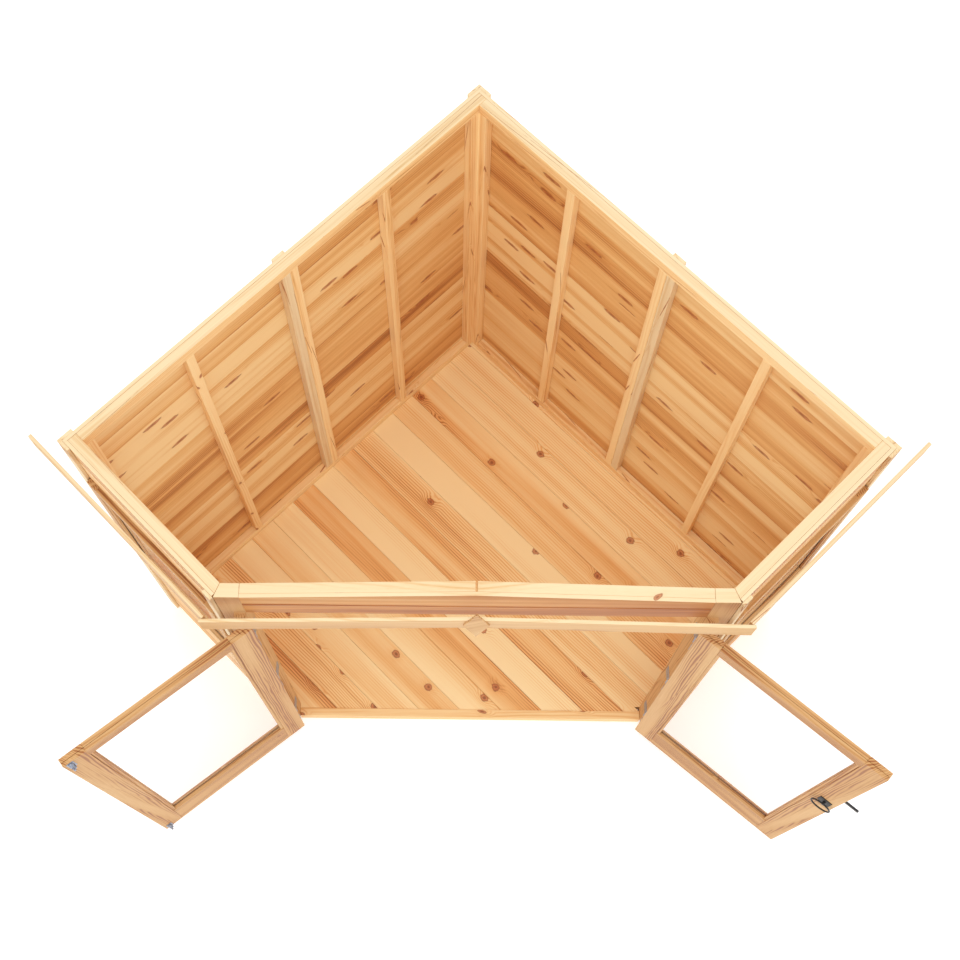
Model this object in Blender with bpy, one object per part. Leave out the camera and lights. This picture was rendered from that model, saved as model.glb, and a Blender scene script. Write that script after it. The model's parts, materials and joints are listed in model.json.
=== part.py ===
"""Corner summerhouse: a timber garden room that stands in a corner, without its roof.

The plan is a square with its front corner cut off. The origin is the middle of the square, on the
ground. +Y points back to the apex where the two back walls meet, and the doors face -Y.
Every wall is outer cladding on an inner frame of studs and rails, and the frame stands on the floor.
A place on a wall is given as (along, out): along the wall from its rear corner, and out beyond the
outer face of its cladding, so that a negative out is inside the wall.
"""

import math

import bmesh
import bpy
from mathutils import Matrix, Vector

# Walls, in metres
BACK_WALL = 1.830        # apex corner to side corner, on the cladding
SIDE_WALL = 0.710        # side corner to front corner, on the cladding
WALL_HEIGHT = 1.865      # ground to the top of the level rim
FRONT_RISE = 0.050       # climb of the front top rails to the middle of the front
CLADDING = 0.012
FRAMING = 0.034          # section of a stud, and depth of a rail
RAIL_HEIGHT = 0.045
STUD_SPACING = 0.435     # middle stud to the next one each way
FLOOR_TOP = 0.049
THRESHOLD_RISE = 0.003   # threshold above the floor
THRESHOLD_PROUD = 0.008  # threshold in front of the posts
GAP = 0.0003             # between pieces that touch

# Trims outside the walls
TRIM = 0.012
TRIM_ARM = 0.045
FRONT_TRIM_ARM = 0.038
COVER_STRIP = 0.050

# Front wall
POST_WIDTH = 0.078
RAIL_JOINT = 0.006       # open joint between the two front top rails
STRIP_WIDTH = 0.038
STRIP_PROUD = 0.017
HEADER_DEPTH = 0.168     # rim down to the underside of the header cladding

# Side windows
WINDOW_SILL = 0.780
WINDOW_DROP = 0.255      # rim down to the head of the window frame
WINDOW_FRAME = 0.045
WINDOW_PROUD = 0.018
WINDOW_MARGIN = 0.004    # window frame to the corner trims
GLASS = 0.004

# Doors
DOOR_FOOT_GAP = 0.008    # leaf to threshold
DOOR_HEAD_GAP = 0.007    # leaf to header cladding
DOOR_THICK = 0.030
DOOR_STILE = 0.081
DOOR_TOP_RAIL = 0.063
DOOR_BOTTOM_RAIL = 0.200
DOOR_SIDE_GAP = 0.007    # leaf to post
DOOR_MEETING_GAP = 0.008  # leaf to leaf
PIVOT_PROUD = 0.005      # hinge pin in front of the leaf's outer face
RIGHT_DOOR_OPEN = 140.5  # degrees from shut
LEFT_DOOR_OPEN = 141.5

# Hinges
HINGE_PLATE = 0.0015
HINGE_DEPTH = 0.050
HINGE_HEIGHT = 0.060
KNUCKLE_RADIUS = 0.004
HINGE_INSET = 0.190      # top and bottom hinges from the ends of the leaf

# Ring latch on the right door
LATCH_HEIGHT = 1.060
LATCH_BACKSET = 0.0375   # spindle to the leaf's closing edge
SPINDLE_RADIUS = 0.005
SPINDLE_CLEARANCE = 0.001
RING_RADIUS = 0.036
RING_WIRE = 0.003
RING_STANDOFF = 0.012    # ring's plane to the leaf's face
BAR_STANDOFF = 0.010     # gap between the leaf's face and the bar
BAR_THICK = 0.007
BAR_HEIGHT = 0.012
BAR_REACH = 0.070        # past the leaf's closing edge
BAR_TAIL = 0.010

# Fascia boards
FASCIA_THICK = 0.012
FASCIA_HEIGHT = 0.084
FASCIA_LIFT = 0.007      # top edge at the ends above the rim
FASCIA_RISE = 0.057      # climb of the front fascias to the middle
FASCIA_OUT_FRONT = 0.068
FASCIA_OUT_SIDE = 0.056
FASCIA_PAST_CORNER = 0.083
FASCIA_END = 0.038       # front fascia past the front corner
FINIAL_WIDTH = 0.078
FINIAL_HEIGHT = 0.250
FINIAL_THICK = 0.006

# Worked out from the sizes above
ROOT_HALF = math.sqrt(0.5)
HALF_DIAGONAL = BACK_WALL * ROOT_HALF
FRONT_Y = -SIDE_WALL * ROOT_HALF
FRONT_HALF = HALF_DIAGONAL - SIDE_WALL * ROOT_HALF
WALL_THICK = CLADDING + FRAMING
MITRE = math.tan(math.radians(22.5))  # the front corners turn 45 degrees
DOORWAY_HALF = FRONT_HALF - POST_WIDTH
FRAME_FOOT = FLOOR_TOP + GAP
STUD_FOOT = FRAME_FOOT + RAIL_HEIGHT + GAP
RAIL_FOOT = WALL_HEIGHT - RAIL_HEIGHT
THRESHOLD_TOP = FLOOR_TOP + THRESHOLD_RISE
THRESHOLD_BACK = FRONT_Y + FRAMING - THRESHOLD_PROUD
HEADER_BOTTOM = WALL_HEIGHT - HEADER_DEPTH
WINDOW_HEAD = WALL_HEIGHT - WINDOW_DROP
DOOR_BOTTOM = THRESHOLD_TOP + DOOR_FOOT_GAP
DOOR_TOP = HEADER_BOTTOM - DOOR_HEAD_GAP
FASCIA_TOP = WALL_HEIGHT + FASCIA_LIFT
PIVOT_Y = FRONT_Y - STRIP_PROUD - PIVOT_PROUD  # hinge pins, in front of the doorway strips
SIGNS = {"left": -1, "right": 1}

PINE = ((0.80, 0.58, 0.34), 0.55, 0.0)
PINE_TRIM = ((0.86, 0.66, 0.42), 0.55, 0.0)
CLEAR = ((0.90, 0.94, 0.95), 0.05, 0.0)
STEEL = ((0.45, 0.47, 0.52), 0.35, 1.0)
BLACK_METAL = ((0.02, 0.02, 0.02), 0.45, 0.0)


def make_collection(name):
    """A new collection linked to the scene."""
    collection = bpy.data.collections.new(name)
    bpy.context.scene.collection.children.link(collection)
    return collection


def finish(obj, look):
    """Put a piece in the object's collection and give it its own material."""
    colour, roughness, metallic = look
    material = bpy.data.materials.new(obj.name)
    material.use_nodes = True
    shader = material.node_tree.nodes["Principled BSDF"]
    shader.inputs["Base Color"].default_value = (*colour, 1.0)
    shader.inputs["Roughness"].default_value = roughness
    shader.inputs["Metallic"].default_value = metallic
    obj.data.materials.append(material)
    PARTS.objects.link(obj)
    return obj


def box_mesh(name, size):
    """A box mesh of the given size about its own centre."""
    mesh = bpy.data.meshes.new(name)
    bm = bmesh.new()
    bmesh.ops.create_cube(bm, size=1.0, matrix=Matrix.Diagonal((*size, 1.0)))
    bm.to_mesh(mesh)
    bm.free()
    return mesh


def cylinder_mesh(name, radius, length, segments=24):
    """A closed cylinder mesh along Z about its own centre."""
    mesh = bpy.data.meshes.new(name)
    bm = bmesh.new()
    bmesh.ops.create_cone(bm, cap_ends=True, segments=segments, radius1=radius, radius2=radius,
                          depth=length)
    bm.to_mesh(mesh)
    bm.free()
    return mesh


def span(low, high):
    """The middle and the length of an interval."""
    return (low + high) / 2, high - low


def box(name, x, y, z, look, parent=None):
    """A box piece from its intervals in X, Y and Z."""
    (cx, sx), (cy, sy), (cz, sz) = span(*sorted(x)), span(*sorted(y)), span(*sorted(z))
    obj = bpy.data.objects.new(name, box_mesh(name, (sx, sy, sz)))
    obj.location = (cx, cy, cz)
    obj.parent = parent
    return finish(obj, look)


def outline_curve(name, outlines, thickness):
    """A flat 2D curve, filled and given its thickness about its own plane."""
    curve = bpy.data.curves.new(name, "CURVE")
    curve.dimensions = "2D"
    curve.fill_mode = "BOTH"
    curve.extrude = thickness / 2
    for points in outlines:
        spline = curve.splines.new("POLY")
        spline.points.add(len(points) - 1)
        for point, (x, y) in zip(spline.points, points):
            point.co = (x, y, 0.0, 1.0)
        spline.use_cyclic_u = True
    return curve


def plan_piece(name, points, z, look):
    """An upright piece: a plan outline between two heights."""
    centre, height = span(*z)
    obj = bpy.data.objects.new(name, outline_curve(name, [points], height))
    obj.location = (0.0, 0.0, centre)
    return finish(obj, look)


def elevation_piece(name, outlines, y, look, parent=None):
    """A board that faces the front: outlines in X and Z between two depths in Y."""
    centre, thickness = span(*sorted(y))
    obj = bpy.data.objects.new(name, outline_curve(name, outlines, thickness))
    obj.location = (0.0, centre, 0.0)
    obj.rotation_euler = (math.pi / 2, 0.0, 0.0)
    obj.parent = parent
    return finish(obj, look)


def rectangle(low_x, high_x, low_y, high_y):
    """The four corners of a rectangle."""
    return [(low_x, low_y), (high_x, low_y), (high_x, high_y), (low_x, high_y)]


def as_mesh(obj):
    """Replace a curve object by a mesh object with welded caps, as a Boolean needs."""
    bpy.context.view_layer.update()
    evaluated = obj.evaluated_get(bpy.context.evaluated_depsgraph_get())
    mesh = bpy.data.meshes.new_from_object(evaluated)
    bm = bmesh.new()
    bm.from_mesh(mesh)
    bmesh.ops.remove_doubles(bm, verts=bm.verts, dist=0.00001)
    bm.to_mesh(mesh)
    bm.free()
    name, parent = obj.name, obj.parent
    local = obj.matrix_local.copy()
    bpy.data.objects.remove(obj)
    solid = bpy.data.objects.new(name, mesh)
    solid.parent = parent
    solid.matrix_local = local
    PARTS.objects.link(solid)
    return solid


def combine(obj, other, operation):
    """Join another mesh object to a piece, or cut the piece with it, by a Boolean."""
    CUTTERS.objects.link(other)
    other.hide_render = True
    other.display_type = "WIRE"
    modifier = obj.modifiers.new(other.name, "BOOLEAN")
    modifier.operation = operation
    modifier.object = other
    modifier.solver = "EXACT"


def helper(name, mesh, location, rotation=(0.0, 0.0, 0.0), parent=None):
    """A mesh object that a Boolean reads."""
    obj = bpy.data.objects.new(name, mesh)
    obj.location = location
    obj.rotation_euler = rotation
    obj.parent = parent
    return obj


class Wall:
    """A wall's plan frame: its rear corner, the way it runs and the way it faces."""

    def __init__(self, corner, along, outward, length):
        self.corner = Vector(corner)
        self.along = Vector(along)
        self.outward = Vector(outward)
        self.length = length

    def point(self, along, out):
        """The plan position of a place on the wall."""
        return self.corner + self.along * along + self.outward * out

    def box(self, name, along, out, z, look):
        """A box lined up with the wall."""
        (ca, la), (co, lo), (cz, lz) = span(*along), span(*out), span(*z)
        obj = bpy.data.objects.new(name, box_mesh(name, (la, lo, lz)))
        obj.location = (*self.point(ca, co), cz)
        obj.rotation_euler = (0.0, 0.0, math.atan2(self.along.y, self.along.x))
        return finish(obj, look)

    def outline(self, points):
        """Plan points of an outline given as (along, out) pairs."""
        return [tuple(self.point(*pair)) for pair in points]

    def panel(self, name, outlines, out, look):
        """A flat piece in the wall's plane: outlines as (along, height) between two outs."""
        centre, thickness = span(*out)
        obj = bpy.data.objects.new(name, outline_curve(name, outlines, thickness))
        along, up = self.along.to_3d(), Vector((0.0, 0.0, 1.0))
        turn = Matrix((along, up, along.cross(up))).transposed().to_4x4()
        obj.matrix_world = Matrix.Translation((*self.point(0.0, centre), 0.0)) @ turn
        return finish(obj, look)


def back_wall(sign):
    """The back wall of one side, from the apex to the side corner."""
    return Wall((0.0, HALF_DIAGONAL), (sign * ROOT_HALF, -ROOT_HALF),
                (sign * ROOT_HALF, ROOT_HALF), BACK_WALL)


def side_wall(sign):
    """The side wall of one side, from the side corner to the front corner."""
    return Wall((sign * HALF_DIAGONAL, 0.0), (-sign * ROOT_HALF, -ROOT_HALF),
                (sign * ROOT_HALF, -ROOT_HALF), SIDE_WALL)


def make_floor():
    """The floor deck: five sides, inside the cladding and behind the front frame."""
    inset = math.sqrt(2) * (CLADDING + GAP)
    tip = HALF_DIAGONAL - inset
    front = FRONT_Y + WALL_THICK + GAP
    clear = DOORWAY_HALF - GAP
    lip = THRESHOLD_BACK + GAP  # between the posts the deck runs on to the threshold
    points = [(0.0, tip), (tip, 0.0), (tip + front, front), (clear, front), (clear, lip),
              (-clear, lip), (-clear, front), (-tip - front, front), (-tip, 0.0)]
    plan_piece("floor_deck", points, (0.0, FLOOR_TOP), PINE)


def make_back_wall(side):
    """Cladding, rails, studs and cover strip of one back wall."""
    wall = back_wall(SIGNS[side])
    inside = (-WALL_THICK, -CLADDING - GAP)
    first = 0.0 if side == "left" else CLADDING + GAP
    wall.box(f"back_{side}_cladding", (first, BACK_WALL), (-CLADDING, 0.0), (0.0, WALL_HEIGHT), PINE)
    first = (CLADDING if side == "left" else WALL_THICK) + GAP
    wall.box(f"back_{side}_top_rail", (first, BACK_WALL - WALL_THICK - GAP), inside,
             (RAIL_FOOT, WALL_HEIGHT), PINE_TRIM)
    post = WALL_THICK + FRAMING + GAP
    wall.box(f"back_{side}_bottom_rail", (post, BACK_WALL - post), inside,
             (FRAME_FOOT, FRAME_FOOT + RAIL_HEIGHT), PINE)
    middle = BACK_WALL / 2
    studs = (("inner", middle - STUD_SPACING, FRAMING), ("middle", middle, 2 * FRAMING),
             ("outer", middle + STUD_SPACING, FRAMING))
    for label, centre, width in studs:
        wall.box(f"back_{side}_stud_{label}", (centre - width / 2, centre + width / 2), inside,
                 (STUD_FOOT, RAIL_FOOT - GAP), PINE)
    wall.box(f"back_{side}_cover_strip", (middle - COVER_STRIP / 2, middle + COVER_STRIP / 2),
             (GAP, GAP + TRIM), (0.0, WALL_HEIGHT), PINE_TRIM)


def corner_outline(corner, first, second, near, far, arms):
    """An L in plan about a square corner: two arms that run along the directions of its walls."""
    (arm_a, arm_b) = arms
    pairs = [(near, near), (arm_a, near), (arm_a, far), (far, far), (far, arm_b), (near, arm_b)]
    return [tuple(corner + first * a + second * b) for a, b in pairs]


def make_corners():
    """The L-shaped posts and trims at the apex and at the two side corners."""
    left, right = back_wall(-1), back_wall(1)
    corners = {"apex": (left.corner, left.along, right.along, TRIM_ARM)}
    for side, sign in SIGNS.items():
        back, flank = back_wall(sign), side_wall(sign)
        corners[f"{side}_corner"] = (flank.corner, -back.along, flank.along, FRONT_TRIM_ARM)
    post_arm = WALL_THICK + FRAMING
    for name, (corner, first, second, arm) in corners.items():
        post = corner_outline(corner, first, second, CLADDING + GAP, WALL_THICK,
                              (post_arm, post_arm))
        plan_piece(f"{name}_post", post, (FRAME_FOOT, RAIL_FOOT - GAP), PINE)
        trim = corner_outline(corner, first, second, -GAP - TRIM, -GAP, (TRIM_ARM, arm))
        plan_piece(f"{name}_trim", trim, (0.0, WALL_HEIGHT), PINE_TRIM)


def make_side_wall(side):
    """Cladding, rails and window of one side wall, and the trim at its front end."""
    wall = side_wall(SIGNS[side])
    inside = (-WALL_THICK, -CLADDING - GAP)
    clad = (CLADDING + GAP, SIDE_WALL - MITRE * CLADDING - 2 * GAP)
    skin = (-CLADDING, 0.0)
    wall.box(f"side_{side}_cladding_lower", clad, skin, (0.0, WINDOW_SILL - GAP), PINE)
    wall.box(f"side_{side}_cladding_upper", clad, skin, (WINDOW_HEAD + GAP, WALL_HEIGHT), PINE)

    outer, inner = -CLADDING - GAP, -WALL_THICK
    rail = [(CLADDING + GAP, outer), (SIDE_WALL + MITRE * outer - 2 * GAP, outer),
            (SIDE_WALL + MITRE * inner - 2 * GAP, inner), (CLADDING + GAP, inner)]
    plan_piece(f"side_{side}_top_rail", wall.outline(rail), (RAIL_FOOT, WALL_HEIGHT), PINE_TRIM)
    post = WALL_THICK + FRAMING + GAP
    wall.box(f"side_{side}_bottom_rail", (post, SIDE_WALL - MITRE * WALL_THICK - 2 * GAP), inside,
             (FRAME_FOOT, FRAME_FOOT + RAIL_HEIGHT), PINE)

    low = FRONT_TRIM_ARM + WINDOW_MARGIN
    high = SIDE_WALL - low
    out = (outer + GAP / 2, WINDOW_PROUD)
    frame = rectangle(low, high, WINDOW_SILL, WINDOW_HEAD)
    pane_low, pane_high = low + WINDOW_FRAME, high - WINDOW_FRAME
    pane_foot, pane_head = WINDOW_SILL + WINDOW_FRAME, WINDOW_HEAD - WINDOW_FRAME
    hole = rectangle(pane_low, pane_high, pane_foot, pane_head)
    wall.panel(f"side_{side}_window_frame", [frame, hole], out, PINE_TRIM)
    middle = (out[0] + out[1]) / 2
    wall.box(f"side_{side}_window_glass", (pane_low + GAP, pane_high - GAP),
             (middle - GLASS / 2, middle + GLASS / 2), (pane_foot + GAP, pane_head - GAP), CLEAR)
    wall.box(f"front_{side}_trim", (SIDE_WALL - FRONT_TRIM_ARM, SIDE_WALL), (GAP, GAP + TRIM),
             (0.0, WALL_HEIGHT), PINE_TRIM)


def make_front_wall():
    """Threshold, header cladding, sloping top rails and the posts that carry the doors."""
    clear = DOORWAY_HALF - GAP
    box("threshold", (-clear, clear), (THRESHOLD_BACK - FRAMING, THRESHOLD_BACK),
        (0.0, THRESHOLD_TOP), PINE_TRIM)
    peak = WALL_HEIGHT + FRONT_RISE
    header = [(-clear, HEADER_BOTTOM), (clear, HEADER_BOTTOM), (clear, WALL_HEIGHT), (0.0, peak),
              (-clear, WALL_HEIGHT)]
    elevation_piece("front_header_cladding", [header], (FRONT_Y, FRONT_Y + CLADDING), PINE)
    for side, sign in SIGNS.items():
        start = RAIL_JOINT / 2
        rail = [(sign * start, peak), (sign * clear, WALL_HEIGHT), (sign * clear, RAIL_FOOT),
                (sign * start, peak - RAIL_HEIGHT)]
        elevation_piece(f"front_{side}_top_rail", [rail],
                        (FRONT_Y + CLADDING + GAP, FRONT_Y + WALL_THICK), PINE_TRIM)
        plan = [(FRONT_HALF, FRONT_Y), (DOORWAY_HALF, FRONT_Y),
                (DOORWAY_HALF, FRONT_Y + WALL_THICK),
                (FRONT_HALF - MITRE * WALL_THICK, FRONT_Y + WALL_THICK)]
        post = as_mesh(plan_piece(f"front_{side}_post", [(sign * x, y) for x, y in plan],
                                  (0.0, WALL_HEIGHT), PINE_TRIM))
        bite = STRIP_PROUD / 4  # how far the strip's solid reaches into the post it joins
        size = (STRIP_WIDTH, STRIP_PROUD + bite, HEADER_BOTTOM - THRESHOLD_TOP)
        place = (sign * (DOORWAY_HALF + STRIP_WIDTH / 2), FRONT_Y - (STRIP_PROUD - bite) / 2,
                 (HEADER_BOTTOM + THRESHOLD_TOP) / 2)
        name = f"front_{side}_strip"
        combine(post, helper(name, box_mesh(name, size), place), "UNION")


def make_hinge(side, label, height):
    """A butt hinge: its plate on the doorway face of the post, and its knuckle on the pin."""
    sign = SIGNS[side]
    name = f"{side}_hinge_{label}"
    pin = (sign * (DOORWAY_HALF - DOOR_SIDE_GAP / 2), PIVOT_Y, height)
    knuckle = bpy.data.objects.new(name, cylinder_mesh(name, KNUCKLE_RADIUS, HINGE_HEIGHT))
    knuckle.location = pin
    finish(knuckle, STEEL)
    face = DOORWAY_HALF - GAP
    place = (sign * (face - HINGE_PLATE / 2), PIVOT_Y + HINGE_DEPTH / 2, height)
    plate = box_mesh(name + "_plate", (HINGE_PLATE, HINGE_DEPTH, HINGE_HEIGHT))
    combine(knuckle, helper(name + "_plate", plate, place), "UNION")


def make_door(side, opening):
    """One glazed leaf, modelled shut about its hinge pin and then swung open."""
    sign = SIGNS[side]
    pivot = bpy.data.objects.new(f"{side}_door_pivot", None)
    pivot.location = (sign * (DOORWAY_HALF - DOOR_SIDE_GAP / 2), PIVOT_Y, 0.0)
    pivot.rotation_euler = (0.0, 0.0, sign * math.radians(opening))
    PARTS.objects.link(pivot)

    # distances from the pin towards the closing edge
    near = DOOR_SIDE_GAP / 2
    far = DOORWAY_HALF - DOOR_SIDE_GAP / 2 - DOOR_MEETING_GAP / 2
    face = PIVOT_PROUD, PIVOT_PROUD + DOOR_THICK
    pane_near, pane_far = near + DOOR_STILE, far - DOOR_STILE
    pane_foot, pane_head = DOOR_BOTTOM + DOOR_BOTTOM_RAIL, DOOR_TOP - DOOR_TOP_RAIL
    leaf = rectangle(-sign * near, -sign * far, DOOR_BOTTOM, DOOR_TOP)
    hole = rectangle(-sign * pane_near, -sign * pane_far, pane_foot, pane_head)
    frame = elevation_piece(f"{side}_door_frame", [leaf, hole], face, PINE_TRIM, pivot)
    middle = PIVOT_PROUD + DOOR_THICK / 2
    box(f"{side}_door_glass", (-sign * (pane_near + GAP), -sign * (pane_far - GAP)),
        (middle - GLASS / 2, middle + GLASS / 2), (pane_foot + GAP, pane_head - GAP), CLEAR, pivot)
    for label, height in (("bottom", DOOR_BOTTOM + HINGE_INSET),
                          ("middle", (DOOR_BOTTOM + DOOR_TOP) / 2),
                          ("top", DOOR_TOP - HINGE_INSET)):
        make_hinge(side, label, height)
    return pivot, frame, far


def make_latch(pivot, frame, far):
    """The ring latch: a spindle through the stile, a ring each side and a bar outside."""
    axis_x = -(far - LATCH_BACKSET)
    quarter = (math.pi / 2, 0.0, 0.0)
    hole_radius = SPINDLE_RADIUS + SPINDLE_CLEARANCE
    hole = cylinder_mesh("spindle_hole", hole_radius, 2 * DOOR_THICK)
    middle = PIVOT_PROUD + DOOR_THICK / 2
    combine(as_mesh(frame), helper("spindle_hole", hole, (axis_x, middle, LATCH_HEIGHT), quarter,
                                   pivot), "DIFFERENCE")

    inner_ring = PIVOT_PROUD + DOOR_THICK + RING_STANDOFF
    outer_ring = PIVOT_PROUD - BAR_STANDOFF - BAR_THICK - RING_STANDOFF / 2
    low, high = outer_ring - RING_WIRE, inner_ring + RING_WIRE
    latch = bpy.data.objects.new("latch", cylinder_mesh("latch", SPINDLE_RADIUS, high - low))
    latch.location = (axis_x, (low + high) / 2, LATCH_HEIGHT)
    latch.rotation_euler = quarter
    latch.parent = pivot
    finish(latch, BLACK_METAL)
    for label, y in (("inner", inner_ring), ("outer", outer_ring)):
        bpy.ops.mesh.primitive_torus_add(major_radius=RING_RADIUS, minor_radius=RING_WIRE,
                                         major_segments=28, minor_segments=8)
        mesh = bpy.context.object.data
        bpy.data.objects.remove(bpy.context.object)
        place = (axis_x, y, LATCH_HEIGHT - RING_RADIUS)
        combine(latch, helper(f"{label}_ring", mesh, place, quarter, pivot), "UNION")
    tip = axis_x - LATCH_BACKSET - BAR_REACH
    tail = axis_x + BAR_TAIL
    bar = box_mesh("latch_bar", (tail - tip, BAR_THICK, BAR_HEIGHT))
    place = ((tip + tail) / 2, PIVOT_PROUD - BAR_STANDOFF - BAR_THICK / 2, LATCH_HEIGHT)
    combine(latch, helper("latch_bar", bar, place, parent=pivot), "UNION")


def make_fascias():
    """The fascia boards that stand off the side and front walls, and the finial."""
    back = FRONT_Y - FASCIA_OUT_FRONT
    face = (back - FASCIA_THICK, back)
    end = FRONT_HALF + FASCIA_END
    peak = FASCIA_TOP + FASCIA_RISE
    for side, sign in SIGNS.items():
        board = [(sign * GAP, peak), (sign * end, FASCIA_TOP),
                 (sign * end, FASCIA_TOP - FASCIA_HEIGHT), (sign * GAP, peak - FASCIA_HEIGHT)]
        elevation_piece(f"fascia_front_{side}", [board], face, PINE_TRIM)
        out = (FASCIA_OUT_SIDE, FASCIA_OUT_SIDE + FASCIA_THICK)
        meet = SIDE_WALL + math.sqrt(2) * (FASCIA_OUT_FRONT - GAP) - out[1]
        side_wall(sign).box(f"fascia_side_{side}", (-FASCIA_PAST_CORNER, meet), out,
                            (FASCIA_TOP - FASCIA_HEIGHT, FASCIA_TOP), PINE_TRIM)
    centre = peak - FASCIA_HEIGHT / 2
    diamond = [(0.0, centre - FINIAL_HEIGHT / 2), (FINIAL_WIDTH / 2, centre),
               (0.0, centre + FINIAL_HEIGHT / 2), (-FINIAL_WIDTH / 2, centre)]
    front = face[0] - GAP
    elevation_piece("finial", [diamond], (front - FINIAL_THICK, front), PINE_TRIM)


for old in list(bpy.data.objects):
    bpy.data.objects.remove(old)
PARTS = make_collection("corner_summerhouse")
CUTTERS = make_collection("cutters")

make_floor()
for wall_side in SIGNS:
    make_back_wall(wall_side)
    make_side_wall(wall_side)
make_corners()
make_front_wall()
make_door("left", LEFT_DOOR_OPEN)
make_latch(*make_door("right", RIGHT_DOOR_OPEN))
make_fascias()
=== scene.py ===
"""Corner summerhouse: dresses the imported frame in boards, planed timber, glass and ironmongery.

Places come from the frame. +X is right, +Y is back towards the apex and the doors face -Y. The back
and side walls stand at 45 degrees, so plan directions ROSE and FELL run along them.
"""

import json
import math

import bmesh
import bpy
import numpy as np
from bpy.props import FloatProperty, FloatVectorProperty, IntProperty, PointerProperty
from mathutils import Matrix, Vector


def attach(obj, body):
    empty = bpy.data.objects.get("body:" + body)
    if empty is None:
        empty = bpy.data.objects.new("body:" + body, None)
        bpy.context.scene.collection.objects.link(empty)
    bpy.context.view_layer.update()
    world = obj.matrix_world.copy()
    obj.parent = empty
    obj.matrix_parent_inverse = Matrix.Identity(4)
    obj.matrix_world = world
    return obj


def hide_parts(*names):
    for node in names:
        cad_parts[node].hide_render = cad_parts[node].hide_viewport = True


bl_info = {
    "name": "Corner summerhouse",
    "version": (1, 0, 0),
    "blender": (4, 5, 0),
    "location": "3D View > Sidebar > Summerhouse",
    "description": "Boards, planed timber, glass and ironmongery for a corner summerhouse",
    "category": "Object",
}

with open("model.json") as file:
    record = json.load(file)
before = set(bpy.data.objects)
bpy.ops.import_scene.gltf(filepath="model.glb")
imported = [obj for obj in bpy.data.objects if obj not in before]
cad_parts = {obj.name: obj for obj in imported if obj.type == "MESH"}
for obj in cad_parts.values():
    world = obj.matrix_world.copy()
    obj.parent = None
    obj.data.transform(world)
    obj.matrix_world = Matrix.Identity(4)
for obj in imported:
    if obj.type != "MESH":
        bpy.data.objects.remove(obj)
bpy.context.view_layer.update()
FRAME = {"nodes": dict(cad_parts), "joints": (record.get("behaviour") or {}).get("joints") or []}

RIGHT = np.array((1.0, 0.0, 0.0))
BACK = np.array((0.0, 1.0, 0.0))
UP = np.array((0.0, 0.0, 1.0))
ROSE = np.array((1.0, 1.0, 0.0)) / math.sqrt(2)  # along the left back wall and right side wall
FELL = np.array((1.0, -1.0, 0.0)) / math.sqrt(2)  # along the right back wall and left side wall
SIGNS = {"left": -1.0, "right": 1.0}

# mesh work
WELD = 0.00002  # corners closer than this are one
CUT = 0.999  # share of its ease that a corner is cut back, so that no face closes up
FLAT_ANGLE = math.radians(1)  # faces nearer level with each other than this are joined
ARRIS_ANGLE = math.radians(20)  # an edge sharper than this is rounded
SHARP_ANGLE = math.radians(35)  # an edge sharper than this stays crisp on a smooth piece
FACE_DEPTH = 0.001  # points this near the furthest one are on the same face
LEVEL = 0.9  # a face whose normal rises more than this looks up
RIM_DROP = 0.06  # a rail's slope: how far under the highest point its top may lie

# joints between timbers, in metres
GAP = 0.0002  # round a jointed rail and on both sides of a pane
SEAT = 0.0001  # under a plate
STUD_JOINT = 0.0003  # half the joint of a double stud
BOARD_JOINT = 0.0004  # half the joint between floor boards
LAYER_JOINT = 0.0004  # half the joint between a door's two layers
OUTER_LAYER = 0.55  # share of a door's thickness in its outer layer
JOINERY_EASE = 0.0015  # rounding of the doors' timbers and of the beads
BOARD_EASE = 0.0009  # rounding of a floor board
SLIVER = 0.004  # no strip of floor board is narrower
WINDOW_BEAD = 0.009  # how far a bead stands off a window's pane
DOOR_BEAD = 0.010  # how far a bead stands off a door's pane

# the joint between cladding boards
V_FOOT = 0.7  # the V is this share of the groove's half width deep
SLOT_DEPTH = 0.003  # depth of the slot at the foot of the V
SLOT_HALF = 0.0007  # half its width
INNER_DEPTH = 0.0012  # depth of the hairline inside
FOOT_LIFT = 0.0005  # the lowest board stops short of the rail under it
JOINT_MARGIN = 0.02  # no joint is nearer the top or foot of a wall

# plates, screws and bolts
PLATE_EASE = 0.0004  # rounding of a plate's edges
SMALL_STEPS = 16  # sides of the smallest turned fittings
SCREW_PROFILE = ((1.0, -0.25), (1.0, 0.02), (0.92, 0.14), (0.55, 0.22), (0.30, 0.22), (0.24, -0.10))
HINGE_PLATE = 0.0016  # thickness of a hinge's plate and its seat on the leaf
HINGE_SPAN = (0.002, 0.033)  # where that plate starts and stops, from the pin to the inner face
HINGE_SCREW_END = 0.010  # from a plate's end to its screws
LEAF_SCREWS = (0.012, 0.026)  # from the pin, the same way
POST_SCREWS = (0.018, 0.038)  # behind the pin
LATCH_PLATE = 0.0026  # thickness of a latch plate and its seat
LATCH_BORE = 0.0062  # half the hole for the spindle
LATCH_SCREWS = (0.35, 0.36)  # from the spindle, as shares of the plate's width and height
LATCH_SCREW = 0.8  # their radius, as a share of a hinge screw's
BOLT_INSET = 0.022  # from a bolt's middle to the leaf's edge
BOLT_END = 0.001  # from a bolt's plate to the leaf's end
BOLT_PLATE = 0.0016  # thickness of a bolt's plate and its seat
ROD_RADIUS = 0.004
ROD_EASE = 0.0005  # taken off the radius at each end of the rod
ROD_END = 0.001  # from the plate's end to the rod's, and as much again to its full radius
ROD_HEIGHT = 0.0065  # from the leaf's face to the middle of the rod
GUIDES = (0.22, 0.78)  # places of the rod's two guides along the plate
GUIDE_SIZE = (0.004, 0.0075)  # half a guide's height and half its width
GUIDE_DEPTH = (0.0010, 0.0118)  # where a guide starts and stops above the leaf's face
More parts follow.
